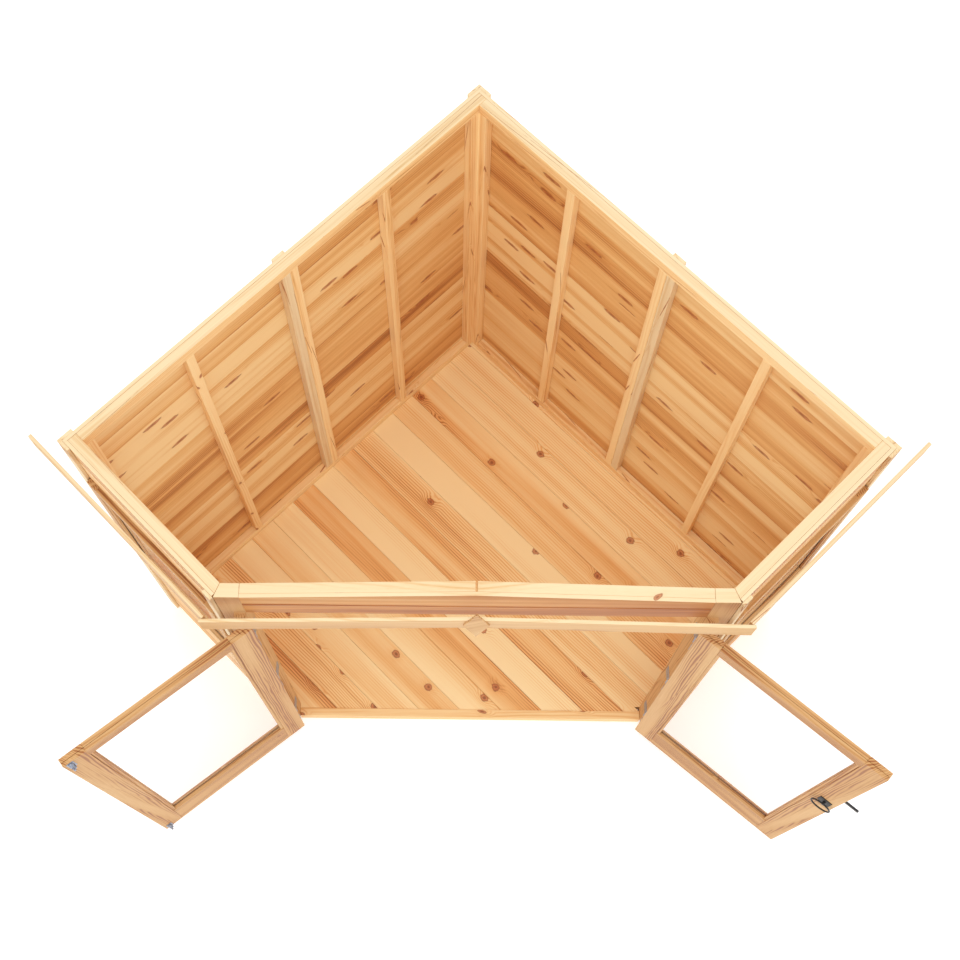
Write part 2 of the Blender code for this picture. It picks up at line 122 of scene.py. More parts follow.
GUIDE_EASE = 0.0012
KNOB_HEIGHT = 0.010  # from the leaf's face to the foot of the knob
KNOB_PROFILE = ((0.0022, 0.0), (0.0022, 0.005), (0.0042, 0.008), (0.0042, 0.011), (0.0028, 0.013),
                (0.0002, 0.0135))
POINT = 0.0002  # least radius of a turned profile, so that its end can be capped

# the finial
FINIAL_GRAIN = (0.80, 0.60)  # how far its grain runs to the right and up
FINIAL_EASE = 0.0008

# the stage
FLOOR_REACH = 60.0
FLOOR_STEPS = 25
FLOOR_DROP = 0.0005  # the studio floor lies this far under the walls
LAMP_PLACE = (0.0, -0.9, 5.6)
LAMP_TARGET = (0.0, -0.3, 0.0)
LAMP_WIDTH = 3.0
VIEW_PLACE = (-0.0585, -1.636, 5.943)
VIEW_ANGLES = (72.018, 3.207, -2.4725)  # degrees: down from level, round to the right, and lean
VIEW_SENSOR = 36.0  # millimetres
VIEW_LENS = 53.0  # millimetres
VIEW_SHIFT = (0.0489, 0.0626)


# ---------------------------------------------------------------- places read from the frame

def points_of(cad):
    """The corners of a CAD node as an array."""
    mesh = FRAME["nodes"][cad].data
    found = np.empty(len(mesh.vertices) * 3)
    mesh.vertices.foreach_get("co", found)
    return found.reshape(-1, 3)


def extent(cad, *axes, origin=(0.0, 0.0, 0.0)):
    """A CAD node's low and high reach along each axis, measured from an origin."""
    reach = (points_of(cad) - np.asarray(origin)) @ np.array(axes).T
    return [(float(low), float(high)) for low, high in zip(reach.min(0), reach.max(0))]


def joint(name):
    """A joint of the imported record."""
    return next(j for j in FRAME["joints"] if j["name"] == name)


def plate_face(cad, sign):
    """The x of the doorway side of a post's hinge plate, at the plate's back edge."""
    points = points_of(cad)
    far = points[np.argmax(points[:, 1])]
    edge = points[points[:, 1] > far[1] - FACE_DEPTH][:, 0]
    return float(edge.min() if sign > 0 else edge.max())


class Leaf:
    """A door at rest: its hinge pin, the way it runs, the way its inner face looks, and its sizes."""

    def __init__(self, side):
        sign = SIGNS[side]
        swing = joint(f"{side}_door_swing")
        shut = max(swing["range_deg"], key=abs)
        turn = math.radians(-shut)
        self.body = f"{side}_door"
        self.pin = np.array((*swing["pos_m"][:2], 0.0))
        cos, sin = math.cos(turn), math.sin(turn)
        self.run = np.array((-sign * cos, -sign * sin, 0.0))
        self.inner = np.array((-sin, cos, 0.0))
        axes = (self.run, self.inner, UP)
        self.u, self.n, self.z = extent(f"{side}_door_frame", *axes, origin=self.pin)
        pane = extent(f"{side}_door_glass", *axes, origin=self.pin)
        self.pane_u, self.pane_n, self.pane_z = pane


# ---------------------------------------------------------------- surfaces

def loft(stations):
    """Quads between closed profiles, capped: stations is (count, points, 3), station by station."""
    count, around, _ = stations.shape
    index = np.arange(count * around).reshape(count, around)
    ahead = np.roll(index, -1, axis=1)
    quads = np.stack((index[:-1], ahead[:-1], ahead[1:], index[1:]), axis=-1).reshape(-1, 4)
    return stations.reshape(-1, 3), quads.tolist() + [index[0][::-1].tolist(), index[-1].tolist()]


def chamfered(low_x, high_x, low_y, high_y, ease):
    """The eight corners of a rectangle whose corners are cut off by ease, anticlockwise."""
    x = np.array((low_x + ease, high_x - ease, high_x, high_x, high_x - ease, low_x + ease, low_x,
                  low_x))
    y = np.array((low_y, low_y, low_y + ease, high_y - ease, high_y, high_y, high_y - ease,
                  low_y + ease))
    return np.stack((x, y), axis=-1)


def timber(origin, axes, length, width, depth, ease):
    """A straight member with eased edges: a chamfered section swept along its length.

    The section at a distance s from either end is shrunk by ease - s where s is under ease.
    """
    along, across, through = axes
    low, high = length
    stations = []
    for place, shrink in ((low, ease), (low + ease, 0.0), (high - ease, 0.0), (high, ease)):
        flat = chamfered(width[0] + shrink, width[1] - shrink, depth[0] + shrink,
                         depth[1] - shrink, ease * CUT)
        stations.append(origin + along * place + flat[:, :1] * across + flat[:, 1:] * through)
    return loft(np.array(stations))


def turned(centre, axis, profile, segments):
    """A turned shape: the (radius, height) profile carried round the axis through the centre."""
    profile = np.asarray(profile, float)
    axis = np.asarray(axis, float) / np.linalg.norm(axis)
    first = np.cross(axis, RIGHT if abs(axis[0]) < 0.9 else BACK)
    first /= np.linalg.norm(first)
    second = np.cross(axis, first)
    angle = np.linspace(0.0, 2 * math.pi, segments, endpoint=False)
    spoke = np.cos(angle)[:, None] * first + np.sin(angle)[:, None] * second
    stations = (np.asarray(centre) + profile[:, 1, None, None] * axis
                + profile[:, 0, None, None] * spoke[None])
    return loft(stations)


def piece(name, parts, materials, body, replaced=(), smooth=False, picks=None):
    """Join the parts into one closed-shell object that rides on a body."""
    corners, faces, chosen, start = [], [], [], 0
    for number, (found, quads) in enumerate(parts):
        corners.append(found)
        faces += [[start + i for i in face] for face in quads]
        chosen += [picks[number] if picks else 0] * len(quads)
        start += len(found)
    mesh = bpy.data.meshes.new(name)
    mesh.from_pydata(np.concatenate(corners).tolist(), [], faces)
    for material in materials:
        mesh.materials.append(material)
    mesh.polygons.foreach_set("material_index", chosen)
    bm = bmesh.new()
    bm.from_mesh(mesh)
    bmesh.ops.recalc_face_normals(bm, faces=bm.faces)
    bm.to_mesh(mesh)
    bm.free()
    if smooth:
        mesh.shade_smooth()
        mesh.set_sharp_from_angle(angle=SHARP_ANGLE)
    return settle(bpy.data.objects.new(name, mesh), body, replaced)


def settle(obj, body, replaced):
    """Link a finished piece, put it on its body and hide the CAD parts it stands in for."""
    bpy.context.scene.collection.objects.link(obj)
    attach(obj, body)
    if replaced:
        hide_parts(*replaced)
    return obj


def paint_top_highlight(obj, grain):
    """Paint light along the top of a piece: the faces there take the paler rim pine as a painted
    highlight.

    They are the faces that look up and lie within a rail's slope of the highest point.
    """
    mesh = obj.data
    mesh.materials.append(wood("rim", grain))
    values = np.empty(len(mesh.polygons) * 3)
    mesh.polygons.foreach_get("normal", values)
    looks_up = values.reshape(-1, 3)[:, 2] > LEVEL
    mesh.polygons.foreach_get("center", values)
    height = values.reshape(-1, 3)[:, 2]
    index = np.empty(len(mesh.polygons), int)
    mesh.polygons.foreach_get("material_index", index)
    # painted highlight: the up-facing top faces get the paler rim pine, so the top reads lit and the
    # sides shaded
    index[looks_up & (height > height.max() - RIM_DROP)] = len(mesh.materials) - 1
    mesh.polygons.foreach_set("material_index", index)
    return obj


# ---------------------------------------------------------------- materials

class Value:
    """A shader socket. Arithmetic on it adds Math nodes, so a formula reads as one."""

    def __init__(self, tree, socket):
        self.tree = tree
        self.socket = socket

    def math(self, operation, *others):
        """A Math node with this value first."""
        inputs = dict(enumerate((self, *others)))
        return node(self.tree, "ShaderNodeMath", {"operation": operation}, inputs)

    def __add__(self, other):
        return self.math("ADD", other)

    def __mul__(self, other):
        return self.math("MULTIPLY", other)

    def __sub__(self, other):
        return self.math("SUBTRACT", other)

    def __truediv__(self, other):
        return self.math("DIVIDE", other)

    def __rsub__(self, other):
        return self * -1.0 + other

    __radd__ = __add__
    __rmul__ = __mul__

    def ease(self, low, high):
        """Smooth step: 0 at low, 1 at high."""
        inputs = {"Value": self, "From Min": low, "From Max": high}
        settings = {"interpolation_type": "SMOOTHSTEP"}
        return node(self.tree, "ShaderNodeMapRange", settings, inputs)


def node(tree, kind, settings=None, inputs=None, out=0):
    """Add a node: its settings first, then the values or links of its sockets."""
    made = tree.nodes.new(kind)
    for key, value in (settings or {}).items():
        if key == "stops":
            ramp = made.color_ramp
            while len(ramp.elements) < len(value):
                ramp.elements.new(0.5)
            for element, (place, colour) in zip(ramp.elements, value):
                element.position = place
                element.color = (*colour, 1.0)
        else:
            setattr(made, key, value)
    for key, value in (inputs or {}).items():
        if isinstance(value, Value):
            tree.links.new(value.socket, made.inputs[key])
        else:
            made.inputs[key].default_value = value
    return Value(tree, made.outputs[out])


def new_material(name, **plain):
    """A Principled material with plain values on its sockets."""
    material = bpy.data.materials.new(name)
    material.use_nodes = True
    shader = material.node_tree.nodes["Principled BSDF"]
    for key, value in plain.items():
        shader.inputs[key.replace("_", " ")].default_value = value
    return material, material.node_tree, shader


def mix(tree, factor, first, second):
    """A colour mix."""
    return node(tree, "ShaderNodeMix", {"data_type": "RGBA"}, {0: factor, 6: first, 7: second}, 2)


def combine(tree, x, y, z):
    """A vector from three values."""
    return node(tree, "ShaderNodeCombineXYZ", None, {0: x, 1: y, 2: z})


def noise(tree, vector, detail=2.0, rough=0.5):
    """Fractal noise about zero, at a scale of one cell to the unit."""
    inputs = {"Vector": vector, "Scale": 1.0, "Detail": detail, "Roughness": rough}
    return node(tree, "ShaderNodeTexNoise", None, inputs) - 0.5


LOOKS = {
    # cover names the board whose width sets the tones, or is None for a single timber; a knot is its
    # reach along and across, its cell along and across, all in metres, and the share of cells that
    # have one; rings are counted to the metre; depth is the middle of the colour ramp's input, tint
    # names its colours, and the rest are contrasts
    "wall": dict(cover="wall", tone=0.62, band=1.25, streak=1.00, ring=0.34, fibre=0.45, rings=75.0,
                 knot=(0.040, 0.0095, 0.40, 0.100, 0.50), tint="wall", depth=0.42),
    "header": dict(cover="wall", tone=0.50, band=1.10, streak=1.10, ring=0.30, fibre=0.40,
                   rings=75.0, knot=(0.030, 0.0080, 0.90, 0.100, 0.20), tint="wall", depth=0.86),
    "deck": dict(cover="deck", tone=1.15, band=1.20, streak=0.90, ring=0.48, fibre=0.36, rings=95.0,
                 knot=(0.018, 0.015, 0.42, 0.110, 0.46), tint="deck", depth=0.36),
    "frame": dict(cover=None, tone=0.0, band=0.50, streak=0.70, ring=0.36, fibre=0.40, rings=90.0,
                  knot=(0.012, 0.007, 0.24, 0.045, 0.45), tint="frame", depth=0.22),
    # the rim pine is the own colour of the trims and one half of the double stud, and it is also laid
    # on the up-facing tops of boards, rails, posts and fascias as a painted highlight
    "rim": dict(cover=None, tone=0.0, band=0.40, streak=0.50, ring=0.24, fibre=0.30, rings=90.0,
                knot=(0.016, 0.008, 0.40, 0.060, 0.55), tint="rim", depth=0.40),
    "fascia": dict(cover=None, tone=0.0, band=0.50, streak=0.60, ring=0.50, fibre=0.45, rings=90.0,
                   knot=(0.014, 0.007, 0.60, 0.060, 0.40), tint="joinery", depth=0.30),
    "joinery": dict(cover=None, tone=0.0, band=0.50, streak=0.60, ring=0.80, fibre=0.50, rings=120.0,
                    knot=(0.010, 0.007, 0.60, 0.090, 0.30), tint="joinery", depth=0.68),
}


def pine(name, look, grain):
    """Softwood whose grain runs along the first of three axes.

    Growth rings are a sine of the distance across, bent by noise and round the knots; streaks and
    fibre are noise stretched along the grain; each board has its own tone; a knot is an ellipse
    about the point of a sparse cell pattern, with a dark rim and core.
    """
    settings = bpy.context.scene.summerhouse_timber
    use = LOOKS[look]
    material, tree, shader = new_material(name)
    place = node(tree, "ShaderNodeTexCoord", out="Object")
    along, across, through = (
        node(tree, "ShaderNodeVectorMath", {"operation": "DOT_PRODUCT"}, {0: place, 1: axis},
             "Value") for axis in grain)
    if use["cover"]:
        cover = settings.floor_cover if use["cover"] == "deck" else settings.board_cover
        # the name moves the tones along, so that each look and direction has its own
        board = (across / cover).math("FLOOR") + (0.37 + sum(map(ord, name)) % 17)
        tone = node(tree, "ShaderNodeTexWhiteNoise", {"noise_dimensions": "1D"}, {"W": board})
    else:
        tone = noise(tree, combine(tree, along * 0.05, across * 1.9, through * 1.9), 0.0) * 2.0 + 0.5
    shift = tone * 23.0

    reach_a, reach_c, every_a, every_c, share = use["knot"]
    aside = across + through * 0.8
    cell = combine(tree, along / every_a + shift, aside / every_c, 0.0)
    spot = {"voronoi_dimensions": "2D", "feature": "F1"}
    inputs = {"Vector": cell, "Scale": 1.0, "Randomness": 0.9}
    centre = node(tree, "ShaderNodeTexVoronoi", spot, inputs, "Position")
    luck = node(tree, "ShaderNodeTexWhiteNoise", {"noise_dimensions": "3D"}, {"Vector": centre})
    offset = node(tree, "ShaderNodeVectorMath", {"operation": "SUBTRACT"}, {0: cell, 1: centre})
    stretch = (every_a / reach_a, every_c / reach_c, 0.0)
    offset = node(tree, "ShaderNodeVectorMath", {"operation": "MULTIPLY"}, {0: offset, 1: stretch})
    far = node(tree, "ShaderNodeVectorMath", {"operation": "LENGTH"}, {0: offset}, "Value")
    wobble = noise(tree, combine(tree, along * 40.0, across * 90.0, shift), 2.0)
    far = far + wobble * 0.9
    here = luck.math("LESS_THAN", share)
    halo = here * (1.0 - far.ease(0.4, 3.4))
    knot = here * (1.0 - far.ease(0.80, 1.15))
    core = here * (1.0 - far.ease(0.15, 0.60))
    rim = knot * far.ease(0.62, 0.95)

    bend = noise(tree, combine(tree, along * 1.3, across * 7.0 + shift, through * 7.0), 2.0)
    swirl = noise(tree, combine(tree, along * 3.5, across + shift, through * 4.0), 1.0)
    phase = (across + through * 0.6) * use["rings"] + bend * 3.2 + swirl * 1.3 + halo * 2.2
    rings = ((phase * (2 * math.pi)).math("SINE") * 0.5 + 0.5).math("POWER", 2.2)
    patch = noise(tree, combine(tree, along * 0.5, across * 9.0 + shift, through * 9.0), 1.0)
    lines = rings * patch.ease(-0.12, 0.16)
    streak = noise(tree, combine(tree, along * 0.45, across * 26.0 + shift, through * 26.0), 2.0, 0.6)
    fibre = noise(tree, combine(tree, along * 7.0, across * 420.0, through * 420.0), 2.0, 0.7)

    check = (streak + fibre * 0.5).ease(0.27, 0.36)
    level = ((tone - 0.5) * use["tone"] + patch * use["band"] + streak * use["streak"]
             + (lines - 0.25) * use["ring"] + fibre * use["fibre"] + halo * 0.12 + check * 0.25
             + use["depth"])
    pale, honey, amber, brown = (tuple(getattr(settings, f"{use['tint']}_{part}"))
                                 for part in ("pale", "honey", "amber", "brown"))
    stops = [(0.0, pale), (0.38, honey), (0.72, amber), (1.0, brown)]
    colour = node(tree, "ShaderNodeValToRGB", {"stops": stops}, {0: level})
    knot_colour, core_colour = (*settings.knot, 1.0), (*settings.knot_core, 1.0)
    colour = mix(tree, knot * 0.75, colour, knot_colour)
    colour = mix(tree, (rim * 0.55 + core * 0.6).math("MINIMUM", 0.9), colour, core_colour)
    height = lines * -0.5 + fibre * 0.7 + knot * 0.3
    bump = node(tree, "ShaderNodeBump", None, {"Strength": 0.35, "Distance": 0.0006, "Height": height},
                "Normal")
    tree.links.new(colour.socket, shader.inputs["Base Color"])
    tree.links.new((0.58 - lines * 0.12 - knot * 0.12).socket, shader.inputs["Roughness"])
    tree.links.new(bump.socket, shader.inputs["Normal"])
    shader.inputs["Specular IOR Level"].default_value = 0.35
    return material


# for each direction: along the grain, across the face of a board, and through it
GRAINS = {
    "rose": (ROSE, UP, FELL),
    "fell": (FELL, UP, ROSE),
    "right": (RIGHT, UP, BACK),
    "deck": (FELL, ROSE, UP),
    "upright": (UP, ROSE, FELL),
    "front_upright": (UP, RIGHT, BACK),
}


def wood(look, grain):
    """The pine of a look with its grain in a named direction, made once."""
    name = f"pine_{look}_{grain}"
    return bpy.data.materials.get(name) or pine(name, look, GRAINS[grain])


def metal(name, colour, rough, metallic, speckle):
    """Plated or painted metal with a faint mottle in its colour and gloss."""
    material, tree, shader = new_material(name, Metallic=metallic)
    place = node(tree, "ShaderNodeTexCoord", out="Object")
    inputs = {"Vector": place, "Scale": 260.0, "Detail": 3.0, "Roughness": 0.6}
    grain = node(tree, "ShaderNodeTexNoise", None, inputs)
    darker = tuple(c * (1.0 - speckle) for c in colour)
    mottled = mix(tree, grain, (*colour, 1.0), (*darker, 1.0))
    bump = node(tree, "ShaderNodeBump", None, {"Strength": 0.15, "Distance": 0.0002, "Height": grain},
                "Normal")
    tree.links.new(mottled.socket, shader.inputs["Base Color"])
    tree.links.new((grain * 0.2 + rough).socket, shader.inputs["Roughness"])
    tree.links.new(bump.socket, shader.inputs["Normal"])
    return material


def glazing():
    """Clear thin sheet with faint smears."""
    found = bpy.data.materials.get("clear_sheet")
    if found:
        return found
    material, tree, shader = new_material("clear_sheet", Base_Color=(0.96, 0.98, 0.98, 1.0),
                                          IOR=1.49)
    place = node(tree, "ShaderNodeTexCoord", out="Object")
    smear = noise(tree, node(tree, "ShaderNodeMapping", None, {"Vector": place, "Scale": (6, 6, 2)}))
    tree.links.new((smear * 0.03 + 0.05).socket, shader.inputs["Alpha"])
    tree.links.new((smear * 0.06 + 0.06).socket, shader.inputs["Roughness"])
    return material


def steel():
    """Zinc plate of the hinges and bolts, made once."""
    found = bpy.data.materials.get("zinc_plate")
    return found or metal("zinc_plate", (0.42, 0.46, 0.55), 0.28, 0.9, 0.35)


def black_iron():
    """Painted iron of the latch, made once."""
    found = bpy.data.materials.get("black_iron")
    return found or metal("black_iron", (0.012, 0.012, 0.013), 0.38, 0.0, 0.3)


# ---------------------------------------------------------------- sizes and colours

def shade(red, green, blue):
    """A colour given in steps of 255, as light amounts."""
    steps = np.array((red, green, blue)) / 255
    return tuple(np.where(steps > 0.04045, ((steps + 0.055) / 1.055) ** 2.4, steps / 12.92))


def size(name, text, default, low=0.0):
    """A length property in metres."""
    return FloatProperty(name=name, description=text, default=default, min=low, unit="LENGTH",
                         subtype="DISTANCE", precision=4)


def tint(name, text, *steps):
    """A colour property."""
    return FloatVectorProperty(name=name, description=text, subtype="COLOR", size=3, min=0.0,
                               max=1.0, default=shade(*steps))


class SummerhouseTimber(bpy.types.PropertyGroup):
    """Board sizes and the colours of the pine."""

    board_cover: size("Wall board cover", "Height that one cladding board covers", 0.112, 0.03)
    floor_cover: size("Floor board cover", "Width that one floor board covers", 0.122, 0.03)
    groove: size("Groove", "Half width of the V joint outside", 0.005)
    hairline: size("Hairline", "Half width of the joint that shows inside", 0.0007)
    arris: size("Arris", "Rounding of the edges of planed timber", 0.0018)
    wall_pale: tint("Wall pale", "Palest streak of the cladding", 244, 208, 150)
    wall_honey: tint("Wall honey", "Common colour of the cladding", 230, 178, 112)
    wall_amber: tint("Wall amber", "Deeper colour of the cladding", 210, 146, 80)
    wall_brown: tint("Wall brown", "Darkest streak of the cladding", 168, 100, 50)
    deck_pale: tint("Deck pale", "Palest streak of the floor", 253, 225, 172)
    deck_honey: tint("Deck honey", "Common colour of the floor", 246, 206, 146)
    deck_amber: tint("Deck amber", "Deeper colour of the floor", 234, 174, 106)
    deck_brown: tint("Deck brown", "Darkest streak of the floor", 190, 120, 64)
    frame_pale: tint("Frame pale", "Palest streak of studs and posts", 252, 220, 164)
    frame_honey: tint("Frame honey", "Common colour of studs and posts", 242, 196, 134)
    frame_amber: tint("Frame amber", "Deeper colour of studs and posts", 222, 166, 100)
    frame_brown: tint("Frame brown", "Darkest streak of studs and posts", 166, 106, 56)
    # the rim colours are the trims' own pine and, on the up-facing tops of boards, rails, posts and
    # fascias, a painted highlight
    rim_pale: tint("Rim pale", "Palest streak of rails and trims", 240, 220, 182)
    rim_honey: tint("Rim honey", "Common colour of rails and trims", 233, 206, 162)
    rim_amber: tint("Rim amber", "Deeper colour of rails and trims", 218, 178, 124)
    rim_brown: tint("Rim brown", "Darkest streak of rails and trims", 180, 126, 74)
    joinery_pale: tint("Door pale", "Palest streak of the doors", 228, 190, 138)
    joinery_honey: tint("Door honey", "Common colour of the doors", 213, 169, 115)
    joinery_amber: tint("Door amber", "Deeper colour of the doors", 196, 144, 88)
    joinery_brown: tint("Door brown", "Darkest streak of the doors", 160, 98, 50)
    knot: tint("Knot", "Colour of a knot", 186, 100, 50)
    knot_core: tint("Knot core", "Colour of a knot's rim and heart", 112, 50, 24)


class SummerhouseFittings(bpy.types.PropertyGroup):
    """Sizes of beads, plates, screws and bolts."""

    bead: size("Bead", "Width of the strip that holds a pane", 0.011, 0.002)
    screw: size("Screw", "Radius of a screw head", 0.0036, 0.001)
    plate_width: size("Latch plate width", "Width of the latch's back plate", 0.046, 0.005)
    plate_height: size("Latch plate height", "Height of the latch's back plate", 0.056, 0.01)
    bolt_length: size("Bolt length", "Length of a bolt's back plate", 0.060, 0.02)
    bolt_width: size("Bolt width", "Width of a bolt's back plate", 0.024, 0.01)
    segments: IntProperty(name="Round steps", description="Sides of a hinge's screw", default=24,
                          min=8)


class SummerhouseStage(bpy.types.PropertyGroup):
    """Light and floor."""

    sky: FloatProperty(name="Sky", description="Strength of the even light", default=1.0, min=0.0)
    key: FloatProperty(name="Key", description="Power of the large light overhead, in watts",
                       default=55.0, min=0.0)
    ground: tint("Ground", "Colour of the studio floor", 250, 250, 250)
    glow: FloatProperty(name="Glow", description="Light that the studio floor gives off",
                        default=0.3, min=0.0)


# ---------------------------------------------------------------- shared shapes

def wall_axes(side, part):
    """A wall's run from its rear corner, its outward direction and the name of its grain."""
    right = side == "right"
    if part == "back":
        return (FELL, ROSE, "fell") if right else (-ROSE, -FELL, "rose")
    return (-ROSE, FELL, "rose") if right else (FELL, -ROSE, "fell")


def boarding(name, cad, along, outward, look, grain, eaves=None):
    """Horizontal boarding in place of a flat sheet.

    The upright section is a plate with a V joint outside and a hairline inside at each multiple of
    the board cover. It is carried along the wall. Given an eaves height, its top rises from there
    at both ends to the sheet's own top in the middle.
    """
    use = bpy.context.scene.summerhouse_timber
    (s0, s1), (n0, n1), (z0, z1) = extent(cad, along, outward, UP)
    top = z1 if eaves is None else eaves
    joints = np.arange(math.floor(z0 / use.board_cover) + 1, math.ceil(top / use.board_cover))
    joints = joints * use.board_cover
    joints = joints[(joints > z0 + JOINT_MARGIN) & (joints < top - JOINT_MARGIN)]
    foot = n1 - use.groove * V_FOOT
    slot = foot - SLOT_DEPTH
    outer, inner = [(n1, z0 + FOOT_LIFT)], []
    for height in joints:
        low, high = height - SLOT_HALF, height + SLOT_HALF
        outer += [(n1, height - use.groove), (foot, low), (slot, low), (slot, high), (foot, high),
                  (n1, height + use.groove)]
        inner += [(n0, height - use.hairline), (n0 + INNER_DEPTH, height),
                  (n0, height + use.hairline)]
    section = np.array(outer + [(n1, top), (n0, top)] + inner[::-1] + [(n0, z0 + FOOT_LIFT)])
    places = [s0, s1] if eaves is None else [s0, (s0 + s1) / 2, s1]
    heights = [z1, z1] if eaves is None else [eaves, z1, eaves]
    stations = []
    for place, height in zip(places, heights):
        z = np.where(section[:, 1] >= top - WELD, height, section[:, 1])
        stations.append(along * place + section[:, :1] * outward + z[:, None] * UP)
    boards = loft(np.array(stations))
    # the boards' up-facing top edge gets a painted highlight in the paler rim pine
    paint_top_highlight(piece(name, [boards], [wood(look, grain)], "root", (cad,)), grain)


def planed(cad, material, width=None):
    """A CAD timber with its arrises rounded over, in place of the sharp one."""
    mesh = FRAME["nodes"][cad].data.copy()
    bm = bmesh.new()
    bm.from_mesh(mesh)
    bmesh.ops.remove_doubles(bm, verts=bm.verts, dist=WELD)
    bmesh.ops.dissolve_limit(bm, angle_limit=FLAT_ANGLE, verts=bm.verts, edges=bm.edges)
    bm.to_mesh(mesh)
    bm.free()
    mesh.materials.clear()
    mesh.materials.append(material)
    obj = bpy.data.objects.new(f"{cad}_planed", mesh)
    bevel = obj.modifiers.new("rounded edges", "BEVEL")
    bevel.width = width or bpy.context.scene.summerhouse_timber.arris
    bevel.segments = 2
    bevel.limit_method = "ANGLE"
    bevel.angle_limit = ARRIS_ANGLE
    bevel.harden_normals = False
    return settle(obj, "root", (cad,))


def screw_head(centre, axis, radius, segments):
    """A countersunk screw head: a low dome with a recess in its middle."""
    return turned(centre, axis, np.array(SCREW_PROFILE) * radius, segments)


def beading(origin, axes, hole_u, hole_z, depth, width):
    """Four strips round a hole: two upright, and two between them."""
    run, through, up = axes
    sides = []
    for low in (hole_u[0], hole_u[1] - width):
        sides.append(timber(origin, (up, run, through), hole_z, (low, low + width), depth,
                            JOINERY_EASE))
    inner = (hole_u[0] + width, hole_u[1] - width)
    for low in (hole_z[0], hole_z[1] - width):
        sides.append(timber(origin, (run, up, through), inner, (low, low + width), depth,
                            JOINERY_EASE))
    return sides


def leaf_grains():
    """Add the doors' grain directions, which turn with the leaves."""
    for side in SIGNS:
        leaf = Leaf(side)
        GRAINS[f"{side}_leaf_rail"] = (leaf.run, UP, leaf.inner)
        GRAINS[f"{side}_leaf_stile"] = (UP, leaf.run, leaf.inner)


# ---------------------------------------------------------------- operators

class SUMMERHOUSE_OT_deck(bpy.types.Operator):
    """Lay the floor boards side by side, each cut to the plan of the room"""

    bl_idname = "summerhouse.deck"
    bl_label = "Floor boards"

    def execute(self, context):
        cover = context.scene.summerhouse_timber.floor_cover
        (u0, u1), (v0, v1), (lip, _), (z0, z1) = extent("floor_deck", FELL, ROSE, BACK, UP)
        front = extent("front_left_post", BACK)[0][1]
        clear = extent("threshold", RIGHT)[0][1]
        root = math.sqrt(2)
        # a board stops at the threshold between the posts and at their backs beside it, and one
        # that meets a post's corner is slit there; on a line at depth y, u is v - y * root
        corners = [(reach + lip) / root for reach in (-clear, clear)]
        boards = []
        for number in range(math.floor(v0 / cover), math.ceil(v1 / cover)):
            low = max(v0, number * cover + BOARD_JOINT)
            high = min(v1, (number + 1) * cover - BOARD_JOINT)
            slits = [low, *(v for v in corners if low + SLIVER < v < high - SLIVER), high]
            for near, far in zip(slits, slits[1:]):
                if far - near < SLIVER:
                    continue
                flat = chamfered(near, far, z0, z1, BOARD_EASE)
                stop = lip if corners[0] < (near + far) / 2 < corners[1] else front
                ends = [np.full(len(flat), u0), np.minimum(u1, flat[:, 0] - root * stop)]
                boards.append(loft(np.array([end[:, None] * FELL + flat[:, :1] * ROSE
                                             + flat[:, 1:] * UP for end in ends])))
        piece("floor_boards", boards, [wood("deck", "deck")], "root",
              ("floor_deck",))
        return {"FINISHED"}


class SUMMERHOUSE_OT_cladding(bpy.types.Operator):
    """Board the walls and the header over the doors"""

    bl_idname = "summerhouse.cladding"
    bl_label = "Cladding"

    def execute(self, context):
        for side in SIGNS:
            for part, names in (("back", ("cladding",)),
                                ("side", ("cladding_lower", "cladding_upper"))):
                along, outward, grain = wall_axes(side, part)
                for name in names:
                    cad = f"{part}_{side}_{name}"
                    boarding(f"{cad}_boards", cad, along, outward, "wall", grain)
        _, eaves = extent("side_left_cladding_upper", UP)[0]
        boarding("header_boards", "front_header_cladding", RIGHT, -BACK, "header", "right", eaves)
        return {"FINISHED"}


class SUMMERHOUSE_OT_framing(bpy.types.Operator):
    """Plane the rails, studs and posts"""

    bl_idname = "summerhouse.framing"
    bl_label = "Framing"

    def execute(self, context):
        for side in SIGNS:
            for part in ("back", "side"):
                grain = wall_axes(side, part)[2]
                rail = planed(f"{part}_{side}_top_rail", wood("frame", grain))
                # painted highlight: the rail's up-facing top takes the paler rim pine
                paint_top_highlight(rail, grain)
                planed(f"{part}_{side}_bottom_rail", wood("frame", grain))
            for stud in ("inner", "outer"):
                planed(f"back_{side}_stud_{stud}", wood("frame", "upright"))
            self.double_stud(side)
            planed(f"{side}_corner_post", wood("frame", "upright"))
            # painted highlight on the up-facing tops of the front posts and rails, in the paler rim
            # pine
            paint_top_highlight(planed(f"front_{side}_post", wood("joinery", "front_upright")), "right")
            paint_top_highlight(planed(f"front_{side}_top_rail", wood("frame", "right")), "right")
        planed("apex_post", wood("frame", "upright"))
        planed("threshold", wood("frame", "right"))
        return {"FINISHED"}

    def double_stud(self, side):
        """The middle stud is two studs screwed together."""
        along, outward, _ = wall_axes(side, "back")
        cad = f"back_{side}_stud_middle"
        (s0, s1), depth, height = extent(cad, along, outward, UP)
        middle = (s0 + s1) / 2
        arris = bpy.context.scene.summerhouse_timber.arris
        halves = [timber(np.zeros(3), (UP, along, outward), height, width, depth, arris)
                  for width in ((s0, middle - STUD_JOINT), (middle + STUD_JOINT, s1))]
        materials = [wood("frame", "upright"), wood("rim", "upright")]
        piece(f"{cad}_pair", halves, materials, "root", (cad,), picks=[0, 1])


class SUMMERHOUSE_OT_trims(bpy.types.Operator):
    """Plane the corner trims and the cover strips outside"""

    bl_idname = "summerhouse.trims"
    bl_label = "Outside trims"

    def execute(self, context):
        for cad in ("apex_trim", "left_corner_trim", "right_corner_trim"):
            planed(cad, wood("rim", "upright"))
        for side in SIGNS:
            planed(f"back_{side}_cover_strip", wood("rim", "upright"))
            planed(f"front_{side}_trim", wood("rim", "upright"))
        return {"FINISHED"}


